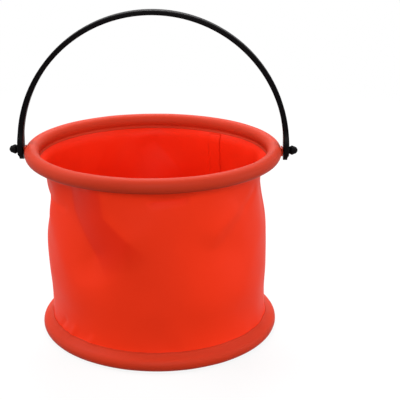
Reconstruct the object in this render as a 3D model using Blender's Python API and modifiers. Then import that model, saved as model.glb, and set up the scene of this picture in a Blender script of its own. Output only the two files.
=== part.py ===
"""Collapsible camp bucket: two hooped hems, a soft wall between them, a flat base and a swinging bail.

Metres, +Z up. The origin is on the ground under the rim's centre. +X runs along the bail's pivot
axis and the bucket is seen from -Y. Every size below may be changed by itself.
"""

import math

import bmesh
import bpy
from mathutils import Matrix, Vector

# Clearance between neighbouring pieces, on each side of the wall where a hem lets it in, and how
# far a cutter runs past what it cuts
GAP = 0.00035
SLIT_GAP = 0.0005
OVERRUN = 0.002

# Hoops and the cloth hems round them
CLOTH = 0.0005
TUBE_RADIUS = 0.0047
TUBE_WALL = 0.0012
RIM_HOOP_RADIUS = 0.0944
BASE_HOOP_RADIUS = 0.0892
RIM_HEIGHT = 0.1461
RIM_SLIT_ANGLE = math.radians(235)
BASE_SLIT_ANGLE = math.radians(113)
TUBE_END_GAP = 0.0004
JOINER_LENGTH = 0.030
JOINER_STEPS = 4

# The soft wall stands a little askew, with its base this far to +X of its rim
BASE_OFFSET = 0.0040

# Wall: its radius just over the base, at its belly and just under the rim
WALL_LOW_RADIUS = 0.0856
WALL_HIGH_RADIUS = 0.0866
WALL_BELLY = 0.0010
FOLD_WIDTH = 0.0140
FOLD_DEPTH = 0.0040
SEAM_ANGLE = math.radians(52.5)

# Base
BASE_THICKNESS = 0.0006

# Bail strap, which is thinner at its crown, and its end lugs
STRAP_THICKNESS = 0.0043
CROWN_THICKNESS = 0.0037
STRAP_WIDTH = 0.0090
STRAP_EDGE = 0.0006
LUG_WIDTH = 0.0130
LUG_RISE = 0.0060
LUG_TAPER = 0.0080
LUG_DROP = 0.0078
TOE_THICKNESS = 0.0018
TOE_START = 0.0030
ARC_RISE = 0.0032

# Studs and the cloth ears that hold them
EAR_THICKNESS = 0.0008
EAR_WIDTH = 0.0086
EAR_RISE = 0.0026
EAR_DROP = 0.0040
EAR_WRAP = 0.0024
EAR_EDGE = 0.0008
STEM_RADIUS = 0.0016
ANCHOR_RADIUS = 0.0024
ANCHOR_THICKNESS = 0.0010
BARB_ROOT_RADIUS = 0.0027
BARB_RADIUS = 0.0038
BARB_LENGTH = 0.0066
BARB_TIP_RADIUS = 0.0010
BARB_SLOT = 0.0009

# Facets
HOOP_STEPS = 48
SECTION_STEPS = 10
WALL_ROWS = 12
SEAM_ROWS = (2, 10)
ARC_STEPS = 40
ROUND_STEPS = 16
TOE_STEPS = 8

# Folds of the wall, each a straight crease on the cloth laid flat: the angle in degrees and the
# height of its two ends, its width and how far it goes in, or out where that is negative
fold_shares = (
    (172, 0.70, 188, 0.70, 0.9, 0.80),
    (-8, 0.81, 10, 0.83, 1.2, 0.90),
    (-141, 0.80, -97, 0.35, 0.9, 0.75),
    (-118, 0.30, -104, 0.42, 1.3, 0.55),
    (-128, 0.38, -112, 0.78, 1.1, -0.30),
    (-62, 0.62, -48, 0.58, 1.2, 0.45),
    (-80, 0.20, -40, 0.30, 1.8, -0.30),
    (20, 0.35, 36, 0.68, 1.1, 0.60),
    (84, 0.72, 104, 0.40, 1.1, 0.70),
    (118, 0.30, 140, 0.60, 1.3, -0.30),
    (150, 0.66, 158, 0.30, 1.0, 0.55),
)

HEM_RADIUS = TUBE_RADIUS + GAP + CLOTH
HEM_MIDDLE = HEM_RADIUS - CLOTH / 2
SLIT_HALF_ANGLE = (CLOTH / 2 + SLIT_GAP) / HEM_MIDDLE
BORE_RADIUS = TUBE_RADIUS * math.cos((math.pi - SLIT_HALF_ANGLE) / SECTION_STEPS) - TUBE_WALL
RIM_OUTER_RADIUS = RIM_HOOP_RADIUS + HEM_RADIUS
BASE_HOOP_HEIGHT = HEM_RADIUS
EAR_FACE = RIM_OUTER_RADIUS + GAP + EAR_THICKNESS
LUG_FACE = EAR_FACE + GAP
LUG_OUTSIDE = LUG_FACE + STRAP_THICKNESS
EYE_RADIUS = STEM_RADIUS + GAP


def clear_scene():
    for thing in list(bpy.data.objects):
        bpy.data.objects.remove(thing, do_unlink=True)


def collection(name):
    made = bpy.data.collections.new(name)
    bpy.context.scene.collection.children.link(made)
    return made


def linear(value):
    """One channel of a colour as the eye names it, turned into the linear value that a shader takes."""
    return value / 12.92 if value <= 0.04045 else ((value + 0.055) / 1.055) ** 2.4


def material(name, colour, roughness):
    made = bpy.data.materials.new(name)
    made.use_nodes = True
    shader = made.node_tree.nodes["Principled BSDF"]
    shader.inputs["Base Color"].default_value = (*(linear(channel) for channel in colour), 1.0)
    shader.inputs["Roughness"].default_value = roughness
    shader.inputs["Metallic"].default_value = 0.0
    return made


def place(thing, finish, parent, folder):
    """Puts a finished object in its collection, under its parent and in its material."""
    for old in list(thing.users_collection):
        old.objects.unlink(thing)
    folder.objects.link(thing)
    thing.parent = parent
    if finish:
        thing.data.materials.clear()
        thing.data.materials.append(finish)
        thing.data.shade_smooth()
        thing.data.set_sharp_from_angle(angle=math.radians(40))
    return thing


def place_cutter(thing, parent, folder):
    thing.hide_render = True
    thing.display_type = "WIRE"
    return place(thing, None, parent, folder)


def frame(name, location, parent, folder):
    empty = bpy.data.objects.new(name, None)
    empty.location = location
    empty.parent = parent
    folder.objects.link(empty)
    return empty


def object_from(name, build):
    """A new mesh object whose mesh the function build fills in."""
    bm = bmesh.new()
    build(bm)
    mesh = bpy.data.meshes.new(name)
    bm.to_mesh(mesh)
    bm.free()
    made = bpy.data.objects.new(name, mesh)
    bpy.context.scene.collection.objects.link(made)
    return made


def polyline(bm, points, closed):
    corners = [bm.verts.new(point) for point in points]
    for first, second in zip(corners, corners[1:]):
        bm.edges.new((first, second))
    if closed:
        bm.edges.new((corners[-1], corners[0]))


def screw(thing, steps, angle, axis="Z"):
    turned = thing.modifiers.new("turned", "SCREW")
    turned.axis = axis
    turned.angle = angle
    turned.steps = steps
    turned.render_steps = steps
    turned.use_merge_vertices = True
    turned.merge_threshold = 1e-6
    return turned


def thicken(thing, thickness, offset):
    shell = thing.modifiers.new("cloth", "SOLIDIFY")
    shell.thickness = thickness
    shell.offset = offset
    shell.use_even_offset = True
    return shell


def cut(thing, cutter, operation="DIFFERENCE"):
    boolean = thing.modifiers.new(cutter.name, "BOOLEAN")
    boolean.operation = operation
    boolean.object = cutter
    return boolean


def section_point(hoop_radius, radius, angle):
    """A point on a circle round the hoop's tube, from straight out (0) over the top (90 degrees)."""
    return (hoop_radius + radius * math.cos(angle), 0, radius * math.sin(angle))


def section(hoop_radius, radius, slit_angle):
    """A tube's section that starts and ends beside the slit where the wall's cloth comes out."""
    turn = 2 * (math.pi - SLIT_HALF_ANGLE)
    angles = [slit_angle - SLIT_HALF_ANGLE - turn * i / SECTION_STEPS for i in range(SECTION_STEPS + 1)]
    return [section_point(hoop_radius, radius, angle) for angle in angles]


def tube(name, hoop_radius, slit_angle):
    """The hoop: a plastic tube bent round until its two ends nearly meet, at the back."""
    points = section(hoop_radius, TUBE_RADIUS, slit_angle)
    made = object_from(name, lambda bm: polyline(bm, points, True))
    end_angle = TUBE_END_GAP / hoop_radius
    screw(made, HOOP_STEPS, 2 * math.pi - end_angle)
    thicken(made, TUBE_WALL, -1)
    made.rotation_euler.z = math.pi / 2 + end_angle / 2
    return made


def hem(name, hoop_radius, slit_angle):
    """The cloth sleeve round a hoop, open only along the slit that the wall goes into."""
    points = section(hoop_radius, HEM_MIDDLE, slit_angle)
    made = object_from(name, lambda bm: polyline(bm, points, False))
    screw(made, HOOP_STEPS, 2 * math.pi)
    thicken(made, CLOTH, 0)
    return made


def joiner(name, hoop_radius):
    """The plug that holds a tube's two ends in line, a short arc at the back of the hoop."""
    curve = bpy.data.curves.new(name, "CURVE")
    curve.dimensions = "3D"
    curve.bevel_depth = BORE_RADIUS - GAP - hoop_radius * (1 - math.cos(math.pi / HOOP_STEPS))
    curve.bevel_resolution = 1
    curve.use_fill_caps = True
    spline = curve.splines.new("POLY")
    spline.points.add(JOINER_STEPS)
    reach = JOINER_LENGTH / hoop_radius
    for i, point in enumerate(spline.points):
        angle = math.pi / 2 + reach * (i / JOINER_STEPS - 0.5)
        point.co = (hoop_radius * math.cos(angle), hoop_radius * math.sin(angle), 0, 1)
    made = bpy.data.objects.new(name, curve)
    bpy.context.scene.collection.objects.link(made)
    return made


WALL_FOOT = section_point(BASE_HOOP_RADIUS, TUBE_RADIUS + GAP, BASE_SLIT_ANGLE)
WALL_HEAD = section_point(RIM_HOOP_RADIUS, TUBE_RADIUS + GAP, RIM_SLIT_ANGLE)
FOOT_HEIGHT = BASE_HOOP_HEIGHT + WALL_FOOT[2]
HEAD_HEIGHT = RIM_HEIGHT + WALL_HEAD[2]
WALL_HEIGHT = HEAD_HEIGHT - FOOT_HEIGHT


def fold_depth(angle, share):
    """How far the folds draw the wall in at this angle and share of its height."""
    depth = 0
    for start, low, end, high, width, deep in fold_shares:
        middle = math.radians(start + end) / 2
        turn = (angle - middle + math.pi) % (2 * math.pi) - math.pi
        here = Vector((turn * WALL_HIGH_RADIUS, (share - (low + high) / 2) * WALL_HEIGHT))
        along = Vector((math.radians(end - start) * WALL_HIGH_RADIUS, (high - low) * WALL_HEIGHT))
        reach = along.length / 2
        along.normalize()
        past = max(abs(here.dot(along)) - reach, 0)
        aside = here.x * along.y - here.y * along.x
        depth += deep * math.exp(-((aside ** 2 + past ** 2) / (width * FOLD_WIDTH) ** 2))
    return FOLD_DEPTH * depth * math.sin(math.pi * share) ** 0.7


def wall_radius(share):
    """The wall's own radius, which runs out to each hoop's slit along the slit's direction."""
    straight = WALL_LOW_RADIUS + (WALL_HIGH_RADIUS - WALL_LOW_RADIUS) * share
    straight += WALL_BELLY * math.sin(math.pi * share)
    flares = 0
    for end_radius, own_radius, slope, height in (
        (WALL_FOOT[0], WALL_LOW_RADIUS, math.tan(BASE_SLIT_ANGLE), share * WALL_HEIGHT),
        (WALL_HEAD[0], WALL_HIGH_RADIUS, math.tan(RIM_SLIT_ANGLE), (1 - share) * WALL_HEIGHT),
    ):
        flare = end_radius - own_radius
        length = abs(flare * slope)
        flares += flare * math.exp(-height / length)
    return straight + flares


def wall_point(angle, share, inward):
    """A point of the wall's middle surface, or of one that lies this far inside it."""
    radius = wall_radius(share) - fold_depth(angle, share) - inward
    offset = BASE_OFFSET * (1 - share)
    height = FOOT_HEIGHT + share * WALL_HEIGHT
    return Vector((offset + radius * math.cos(angle), radius * math.sin(angle), height))


def row_share(row):
    """Rows stand closer at the hems, where the wall curves most."""
    return 0.5 - 0.5 * math.cos(math.pi * row / WALL_ROWS)


def wall_sheet(name, first_step, steps, first_row, last_row, inward):
    """A stretch of the wall, made by bending a flat grid round."""
    rows = last_row - first_row

    def build(bm):
        bmesh.ops.create_grid(bm, x_segments=steps, y_segments=rows, size=1)
        for corner in bm.verts:
            step = first_step + steps * (corner.co.x + 1) / 2
            row = first_row + round(rows * (corner.co.y + 1) / 2)
            angle = 2 * math.pi * step / HOOP_STEPS
            corner.co = wall_point(angle, row_share(row), inward)
        bmesh.ops.remove_doubles(bm, verts=bm.verts, dist=GAP / HOOP_STEPS)
        bmesh.ops.recalc_face_normals(bm, faces=bm.faces)

    made = object_from(name, build)
    thicken(made, CLOTH, 0)
    return made


def base_disc(name):
    """The flat base, whose edge lies under the curve of the base hem."""
    tuck = math.sqrt(HEM_RADIUS ** 2 - (HEM_RADIUS - BASE_THICKNESS) ** 2)
    radius = BASE_HOOP_RADIUS - tuck - GAP

    def build(bm):
        bmesh.ops.create_cone(
            bm, cap_ends=True, segments=HOOP_STEPS, radius1=radius, radius2=radius, depth=BASE_THICKNESS
        )
        bmesh.ops.translate(bm, verts=bm.verts, vec=(0, 0, BASE_THICKNESS / 2))

    return object_from(name, build)


def flat_outline(name, points, thickness):
    """A closed flat outline in X and Y, given thickness along Z, as a mesh object."""
    curve = bpy.data.curves.new(name, "CURVE")
    curve.dimensions = "2D"
    curve.fill_mode = "BOTH"
    curve.extrude = thickness / 2
    spline = curve.splines.new("POLY")
    spline.points.add(len(points) - 1)
    spline.use_cyclic_u = True
    for point, (x, y) in zip(spline.points, points):
        point.co = (x, y, 0, 1)
    source = bpy.data.objects.new(name, curve)
    bpy.context.scene.collection.objects.link(source)
    bpy.context.view_layer.update()
    graph = bpy.context.evaluated_depsgraph_get()
    mesh = bpy.data.meshes.new_from_object(source.evaluated_get(graph))
    bm = bmesh.new()
    bm.from_mesh(mesh)
    bmesh.ops.remove_doubles(bm, verts=bm.verts, dist=GAP / HOOP_STEPS)
    bmesh.ops.recalc_face_normals(bm, faces=bm.faces)
    bm.to_mesh(mesh)
    bm.free()
    bpy.data.objects.remove(source, do_unlink=True)
    made = bpy.data.objects.new(name, mesh)
    bpy.context.scene.collection.objects.link(made)
    return made


def turn_mesh(thing, *turns):
    """Turns a mesh in place, so that its object stays unturned."""
    for angle, axis in turns:
        thing.data.transform(Matrix.Rotation(angle, 4, axis))


def bail_outline():
    """The bail as seen from the front, in X and up from its pivots: arc, legs and tapered toes."""
    outer = [
        (
            LUG_OUTSIDE * math.cos(math.pi * i / ARC_STEPS),
            ARC_RISE + LUG_OUTSIDE * math.sin(math.pi * i / ARC_STEPS),
        )
        for i in range(ARC_STEPS + 1)
    ]
    inner = [
        (
            LUG_FACE * math.cos(math.pi * i / ARC_STEPS),
            ARC_RISE + (LUG_OUTSIDE - CROWN_THICKNESS) * math.sin(math.pi * i / ARC_STEPS),
        )
        for i in range(ARC_STEPS, -1, -1)
    ]
    right_toe = [
        (LUG_FACE, -LUG_DROP),
        (LUG_FACE + TOE_THICKNESS, -LUG_DROP),
        (LUG_OUTSIDE, -TOE_START),
    ]
    left_toe = [(-x, z) for x, z in reversed(right_toe)]
    return outer + left_toe + inner + right_toe


def bail_side_outline():
    """The bail as seen from the side, in Y and up: a round toe, a wide lug and the narrow strap."""
    lug = LUG_WIDTH / 2
    strap = STRAP_WIDTH / 2
    top = ARC_RISE + LUG_OUTSIDE + OVERRUN
    toe = [
        (
            lug * math.cos(math.pi + math.pi * i / TOE_STEPS),
            lug - LUG_DROP + lug * math.sin(math.pi + math.pi * i / TOE_STEPS),
        )
        for i in range(TOE_STEPS + 1)
    ]
    right = [(lug, LUG_RISE), (strap, LUG_RISE + LUG_TAPER), (strap, top)]
    left = [(-x, z) for x, z in reversed(right)]
    return toe + right + left


def bail(name, folder):
    """The bail is what its front outline and its side outline have in common, its eyes cut through."""
    made = flat_outline(name, bail_outline(), LUG_WIDTH + OVERRUN)
    turn_mesh(made, (math.pi / 2, "X"))
    side = flat_outline("bail_side_cutter", bail_side_outline(), 2 * (LUG_OUTSIDE + OVERRUN))
    turn_mesh(side, (math.pi / 2, "X"), (math.pi / 2, "Z"))
    cut(made, side, "INTERSECT")
    edges = made.modifiers.new("edges", "BEVEL")
    edges.width = STRAP_EDGE
    edges.segments = 1
    edges.limit_method = "ANGLE"
    edges.angle_limit = math.radians(50)
    place_cutter(side, None, folder)
    return made, side


def stud_profile():
    """The stud's outline as distance from the hoop's centre line and radius, from its anchor to its tip."""
    head = LUG_OUTSIDE + GAP - RIM_HOOP_RADIUS
    tip = head + BARB_LENGTH
    anchor = math.sqrt(BORE_RADIUS ** 2 - ANCHOR_RADIUS ** 2) - GAP
    barb = head + BARB_LENGTH / 3
    return [
        (anchor - ANCHOR_THICKNESS, 0),
        (anchor - ANCHOR_THICKNESS, ANCHOR_RADIUS),
        (anchor, ANCHOR_RADIUS),
        (anchor, STEM_RADIUS),
        (head, STEM_RADIUS),
        (head, BARB_ROOT_RADIUS),
        (barb, BARB_RADIUS),
        (tip - BARB_TIP_RADIUS, (BARB_RADIUS + BARB_TIP_RADIUS) / 2),
        (tip, BARB_TIP_RADIUS),
        (tip, 0),
    ]


def stud(name, side, parent, folder, cutters, finish):
    """A barbed stud, turned about its own axis, with its head split into two prongs."""
    points = [(radius, 0, along) for along, radius in reversed(stud_profile())]
    made = object_from(name, lambda bm: polyline(bm, points, False))
    screw(made, ROUND_STEPS, 2 * math.pi)
    made.rotation_euler.y = side * math.pi / 2
    made.location.x = side * RIM_HOOP_RADIUS
    place(made, finish, parent, folder)
    head = LUG_OUTSIDE + GAP + BARB_LENGTH / 3
    slot_length = BARB_LENGTH

    def build(bm):
        bmesh.ops.create_cube(bm, size=1)
        size = (slot_length, BARB_SLOT, 2 * (BARB_RADIUS + OVERRUN))
        bmesh.ops.scale(bm, verts=bm.verts, vec=size)
        bmesh.ops.translate(bm, verts=bm.verts, vec=(side * (head + slot_length / 2), 0, 0))

    slot = place_cutter(object_from(name + "_slot_cutter", build), parent, cutters)
    cut(made, slot)
    return made


def stud_hole_cutter(name, side, parent, folder):
    """What a stud's stem needs through the tube's outer side, the hem, the ear and the lug."""
    start = RIM_HOOP_RADIUS
    end = LUG_OUTSIDE + OVERRUN

    def build(bm):
        bmesh.ops.create_cone(
            bm, cap_ends=True, segments=ROUND_STEPS, radius1=EYE_RADIUS, radius2=EYE_RADIUS, depth=end - start
        )
        bmesh.ops.rotate(bm, verts=bm.verts, matrix=Matrix.Rotation(math.pi / 2, 3, "Y"))
        bmesh.ops.translate(bm, verts=bm.verts, vec=(side * (start + end) / 2, 0, 0))

    return place_cutter(object_from(name, build), parent, folder)


def hem_cutter(parent, folder):
    """The space that the rim's hem needs behind the ears."""
    bpy.ops.mesh.primitive_torus_add(
        major_radius=RIM_HOOP_RADIUS,
        minor_radius=HEM_RADIUS + GAP,
        major_segments=2 * HOOP_STEPS,
        minor_segments=2 * ROUND_STEPS,
    )
    made = bpy.context.active_object
    made.name = "hem_cutter"
    made.location = (0, 0, 0)
    return place_cutter(made, parent, folder)


def ear(name, side, parent, folder, finish):
    """The cloth ear that wraps the hem's outer side round a stud's stem."""
    depth = EAR_THICKNESS + GAP + EAR_WRAP

    def build(bm):
        bmesh.ops.create_cube(bm, size=1)
        bmesh.ops.scale(bm, verts=bm.verts, vec=(depth, EAR_WIDTH, EAR_RISE + EAR_DROP))
        middle = (side * (EAR_FACE - depth / 2), 0, (EAR_RISE - EAR_DROP) / 2)
        bmesh.ops.translate(bm, verts=bm.verts, vec=middle)

    made = place(object_from(name, build), finish, parent, folder)
    edges = made.modifiers.new("edges", "BEVEL")
    edges.width = EAR_EDGE
    edges.segments = 2
    return made


def main():
    clear_scene()
    parts = collection("camp_bucket")
    cutters = collection("cutters")

    wall_cloth = material("wall_cloth", (0.86, 0.20, 0.12), 0.45)
    hem_cloth = material("hem_cloth", (0.93, 0.40, 0.31), 0.60)
    hoop_plastic = material("hoop_plastic", (0.86, 0.86, 0.84), 0.50)
    bail_plastic = material("bail_plastic", (0.08, 0.08, 0.09), 0.40)

    base_frame = frame("base_frame", (BASE_OFFSET, 0, BASE_HOOP_HEIGHT), None, parts)
    rim_frame = frame("rim_frame", (0, 0, RIM_HEIGHT), None, parts)
    bail_pivot = frame("bail_pivot", (0, 0, 0), rim_frame, parts)

    place(tube("base_hoop_tube", BASE_HOOP_RADIUS, BASE_SLIT_ANGLE), hoop_plastic, base_frame, parts)
    place(joiner("base_tube_joiner", BASE_HOOP_RADIUS), None, base_frame, parts)
    place(hem("base_hem_sleeve", BASE_HOOP_RADIUS, BASE_SLIT_ANGLE), hem_cloth, base_frame, parts)
    disc = place(base_disc("base_panel"), wall_cloth, base_frame, parts)
    disc.location.z = -BASE_HOOP_HEIGHT

    place(wall_sheet("wall_panel", 0, HOOP_STEPS, 0, WALL_ROWS, 0), wall_cloth, None, parts)
    seam_step = round(SEAM_ANGLE / (2 * math.pi) * HOOP_STEPS)
    seam = wall_sheet("wall_seam_tape", seam_step, 1, *SEAM_ROWS, CLOTH + GAP)
    place(seam, wall_cloth, None, parts)

    rim_tube = place(tube("rim_hoop_tube", RIM_HOOP_RADIUS, RIM_SLIT_ANGLE), hoop_plastic, rim_frame, parts)
    place(joiner("rim_tube_joiner", RIM_HOOP_RADIUS), None, rim_frame, parts)
    rim_hem = place(hem("rim_hem_sleeve", RIM_HOOP_RADIUS, RIM_SLIT_ANGLE), hem_cloth, rim_frame, parts)

    handle, side_cutter = bail("bail_handle", cutters)
    place(handle, bail_plastic, bail_pivot, parts)
    side_cutter.parent = bail_pivot

    behind_ears = hem_cutter(rim_frame, cutters)
    for side, word in ((-1, "left"), (1, "right")):
        hole = stud_hole_cutter(word + "_stem_cutter", side, rim_frame, cutters)
        stud(word + "_stud", side, rim_frame, parts, cutters, bail_plastic)
        patch = ear(word + "_ear_patch", side, rim_frame, parts, hem_cloth)
        cut(patch, behind_ears)
        for carrier in (rim_tube, rim_hem, patch, handle):
            cut(carrier, hole)

    for name in ("base_tube_joiner", "rim_tube_joiner"):
        bpy.data.objects[name].data.materials.append(hoop_plastic)


main()
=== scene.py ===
# %% [markdown]
# # A camp bucket that folds flat
#
# The real bucket is almost all cloth. A plastic hoop in a sleeve holds the rim open, a second one
# holds the base open, and a coated cloth wall hangs between them, so the whole thing collapses to a
# ring. A moulded bail swings on two barbed studs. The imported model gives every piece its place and
# its body. Here each soft piece gets its true, finer shape, and everything gets its finish.
#
# All lengths are in metres, +Z is up and the front is at -Y.

import math

import bmesh
import bpy
import numpy as np
from mathutils import Matrix, Vector, noise


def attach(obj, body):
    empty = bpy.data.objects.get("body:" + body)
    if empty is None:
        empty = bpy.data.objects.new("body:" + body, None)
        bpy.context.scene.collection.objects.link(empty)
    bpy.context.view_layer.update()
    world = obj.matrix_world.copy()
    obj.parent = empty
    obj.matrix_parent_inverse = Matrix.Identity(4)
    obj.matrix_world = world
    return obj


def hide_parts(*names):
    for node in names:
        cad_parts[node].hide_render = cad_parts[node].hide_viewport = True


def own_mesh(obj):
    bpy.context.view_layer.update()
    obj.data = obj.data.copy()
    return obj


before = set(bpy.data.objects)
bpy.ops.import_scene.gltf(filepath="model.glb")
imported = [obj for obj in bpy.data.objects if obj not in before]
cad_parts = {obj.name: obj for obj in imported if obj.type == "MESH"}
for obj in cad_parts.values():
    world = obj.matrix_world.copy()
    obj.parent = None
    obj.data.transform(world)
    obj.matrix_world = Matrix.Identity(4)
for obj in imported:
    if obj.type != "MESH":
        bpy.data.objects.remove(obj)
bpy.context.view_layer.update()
print("nodes:", ", ".join(sorted(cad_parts)))

# %% [markdown]
# ## The camera
#
# The photograph looks down on the bucket at a low angle, with the bucket left of the middle. The
# camera's place comes from fitting the outlines of both hoops. A long lens with the camera well back
# gives the same mild perspective as the photograph, and a very small roll levels the rim.

# %% Camera
CAMERA_TARGET = Vector((0.03652, 0, 0.10458))
CAMERA_DISTANCE = 0.82804
CAMERA_ELEVATION = math.radians(18.58)
CAMERA_ROLL = math.radians(0.25)
CAMERA_LENS = 93.63
SENSOR_WIDTH = 36


def add_camera():
    settings = bpy.data.cameras.new("camera")
    settings.lens = CAMERA_LENS
    settings.sensor_width = SENSOR_WIDTH
    made = bpy.data.objects.new("camera", settings)
    tilt = Matrix.Rotation(math.pi / 2 - CAMERA_ELEVATION, 4, "X")
    made.matrix_world = (
        Matrix.Translation(CAMERA_TARGET)
        @ tilt
        @ Matrix.Rotation(CAMERA_ROLL, 4, "Z")
        @ Matrix.Translation((0, 0, CAMERA_DISTANCE))
    )
    bpy.context.scene.collection.objects.link(made)
    bpy.context.scene.camera = made
    return made


print("camera at", [round(x, 4) for x in add_camera().matrix_world.translation])

# %% [markdown]
# ## Helpers for materials
#
# A material here is a Principled shader with node groups in front of it. The groups hold what more
# than one finish needs, and they put out only colours and heights. Colours are written as the eye
# names them and are turned into the linear values that a shader takes.

# %% Node helpers


def linear(colour):
    """An ordinary colour from 0 to 1 as the linear colour that a shader takes."""
    channels = [c / 12.92 if c <= 0.04045 else ((c + 0.055) / 1.055) ** 2.4 for c in colour]
    return (*channels, 1.0)


def add_node(tree, kind, values=None, **settings):
    """A new node, with its settings and the values of its unlinked inputs."""
    made = tree.nodes.new(kind)
    for key, value in settings.items():
        setattr(made, key, value)
    for key, value in (values or {}).items():
        made.inputs[key].default_value = value
    return made


def start_group(name, inputs, outputs):
    """A shader node group with its named sockets and its input and output nodes."""
    tree = bpy.data.node_groups.new(name, "ShaderNodeTree")
    for label, kind, value in inputs:
        socket = tree.interface.new_socket(label, in_out="INPUT", socket_type="NodeSocket" + kind)
        socket.default_value = value
    for label, kind in outputs:
        tree.interface.new_socket(label, in_out="OUTPUT", socket_type="NodeSocket" + kind)
    return tree, add_node(tree, "NodeGroupInput"), add_node(tree, "NodeGroupOutput")


def place_group(tree, group, values=None):
    return add_node(tree, "ShaderNodeGroup", values, node_tree=group)


print("a middling grey as a shader takes it:", round(linear((0.5, 0.5, 0.5))[0], 3))

# %% [markdown]
# ## Effects that several finishes share
#
# Coated cloth still shows the yarns under its coating, as a fine basket of bumps that follows the
# cloth, so it reads the piece's own UV map, which is laid out in metres. Colour that drifts a
# little over a hand's breadth keeps a big plain surface from looking like paint. Between two creases
# the colour is darkened with painted shade, and a vertex attribute on the mesh says how much painted
# shade lies there.

# %% Weave group
YARN_DRIFT_SCALE = 260.0


def make_weave():
    """Height of a plain weave, from a UV map laid out in metres."""
    tree, given, result = start_group(
        "weave",
        [("UV", "Vector", (0, 0, 0)), ("Yarns per metre", "Float", 1800.0), ("Unevenness", "Float", 0.5)],
        [("Height", "Float")],
    )
    link = tree.links.new
    turns = add_node(tree, "ShaderNodeMath", {1: math.pi}, operation="MULTIPLY")
    link(given.outputs["Yarns per metre"], turns.inputs[0])
    scaled = add_node(tree, "ShaderNodeVectorMath", operation="SCALE")
    link(given.outputs["UV"], scaled.inputs[0])
    link(turns.outputs[0], scaled.inputs["Scale"])
    split = add_node(tree, "ShaderNodeSeparateXYZ")
    link(scaled.outputs[0], split.inputs[0])
    waves = []
    for axis in ("X", "Y"):
        wave = add_node(tree, "ShaderNodeMath", operation="SINE")
        link(split.outputs[axis], wave.inputs[0])
        waves.append(wave)
    basket = add_node(tree, "ShaderNodeMath", operation="MULTIPLY")
    link(waves[0].outputs[0], basket.inputs[0])
    link(waves[1].outputs[0], basket.inputs[1])
    drift = add_node(tree, "ShaderNodeTexNoise", {"Scale": YARN_DRIFT_SCALE, "Detail": 2.0})
    link(given.outputs["UV"], drift.inputs["Vector"])
    uneven = add_node(tree, "ShaderNodeMath", operation="MULTIPLY")
    link(drift.outputs["Fac"], uneven.inputs[0])
    link(given.outputs["Unevenness"], uneven.inputs[1])
    height = add_node(tree, "ShaderNodeMath", {1: 0.5}, operation="MULTIPLY_ADD")
    link(basket.outputs[0], height.inputs[0])
    link(uneven.outputs[0], height.inputs[2])
    link(height.outputs[0], result.inputs["Height"])
    return tree


weave = make_weave()
print("group:", weave.name)

# %% Tone group


def make_tone():
    """A colour that drifts darker and lighter over the surface, and is darkened where painted shade lies."""
    tree, given, result = start_group(
        "tone",
        [
            ("Color", "Color", (0.8, 0.8, 0.8, 1)),
            ("Shaded Color", "Color", (0.7, 0.7, 0.7, 1)),
            ("Painted Shade", "Float", 0.0),
            ("Scale", "Float", 14.0),
            ("Drift", "Float", 0.05),
            ("Seed", "Vector", (0, 0, 0)),
        ],
        [("Color", "Color"), ("Mask", "Float")],
    )
    link = tree.links.new
    place = add_node(tree, "ShaderNodeTexCoord")
    shifted = add_node(tree, "ShaderNodeVectorMath", operation="ADD")
    link(place.outputs["Object"], shifted.inputs[0])
    link(given.outputs["Seed"], shifted.inputs[1])
    cloud = add_node(tree, "ShaderNodeTexNoise", {"Detail": 4.0, "Roughness": 0.6})
    link(shifted.outputs[0], cloud.inputs["Vector"])
    link(given.outputs["Scale"], cloud.inputs["Scale"])
    centred = add_node(tree, "ShaderNodeMath", {1: 0.5}, operation="SUBTRACT")
    link(cloud.outputs["Fac"], centred.inputs[0])
    swing = add_node(tree, "ShaderNodeMath", operation="MULTIPLY")
    link(centred.outputs[0], swing.inputs[0])
    link(given.outputs["Drift"], swing.inputs[1])
    level = add_node(tree, "ShaderNodeMath", {1: 2.0, 2: 1.0}, operation="MULTIPLY_ADD")
    link(swing.outputs[0], level.inputs[0])
    # painted shade: the colour is mixed towards its shaded copy by the painted shade amount
    paint_shade_mix = add_node(tree, "ShaderNodeMix", data_type="RGBA")
    link(given.outputs["Painted Shade"], paint_shade_mix.inputs[0])
    link(given.outputs["Color"], paint_shade_mix.inputs[6])
    link(given.outputs["Shaded Color"], paint_shade_mix.inputs[7])
    shade = add_node(tree, "ShaderNodeVectorMath", operation="SCALE")
    link(paint_shade_mix.outputs[2], shade.inputs[0])
    link(level.outputs[0], shade.inputs["Scale"])
    link(shade.outputs[0], result.inputs["Color"])
    link(cloud.outputs["Fac"], result.inputs["Mask"])
    return tree


tone = make_tone()
print("group:", tone.name)

# %% [markdown]
# ## Five finishes
#
# The wall is woven cloth with a smooth coating, so it is a clear red with a soft gloss. The hems are
# the same cloth with a duller face, stretched round the hoops. The wall's colour is painted brighter
# than the hems', which is painted light for the light that shines through the thin wall, and the base
# hem is painted a shade paler than the rim's hem, which is painted light as well. The bail and studs
# are dark moulded plastic, which is never quite even in gloss. The hoops inside the hems are plain
# pale tube, seen only where somebody looks into the slit under a hem. Pictures of cloth and plastic
# could be wrapped round the pieces, but patterns made by nodes stay sharp from any distance, so two
# functions make all five from the shared groups.

# %% Finishes
# the wall's colour is painted brighter than the hems': painted light, for light shining through the thin wall
WALL_COLOUR = (0.930, 0.202, 0.076)
HEM_COLOUR = (0.715, 0.192, 0.096)
# the base hem is painted a shade paler than the rim's hem: painted light
BASE_HEM_PAINTED_LIGHT_COLOUR = (0.765, 0.200, 0.100)
BAIL_COLOUR = (0.022, 0.014, 0.019)
# how much painted shade darkens each channel of a cloth colour
PAINTED_SHADE_SHARES = (0.965, 0.81, 0.70)
TUBE_COLOUR = (0.86, 0.86, 0.84)
CLOTH_GLOSS_SPREAD = 0.05
PLASTIC_GLOSS_SPREAD = 0.07
PLASTIC_CLOUD_SCALE = 60.0
PLASTIC_DRIFT = 0.25
NOISE_LOW, NOISE_HIGH = 0.3, 0.7


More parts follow.
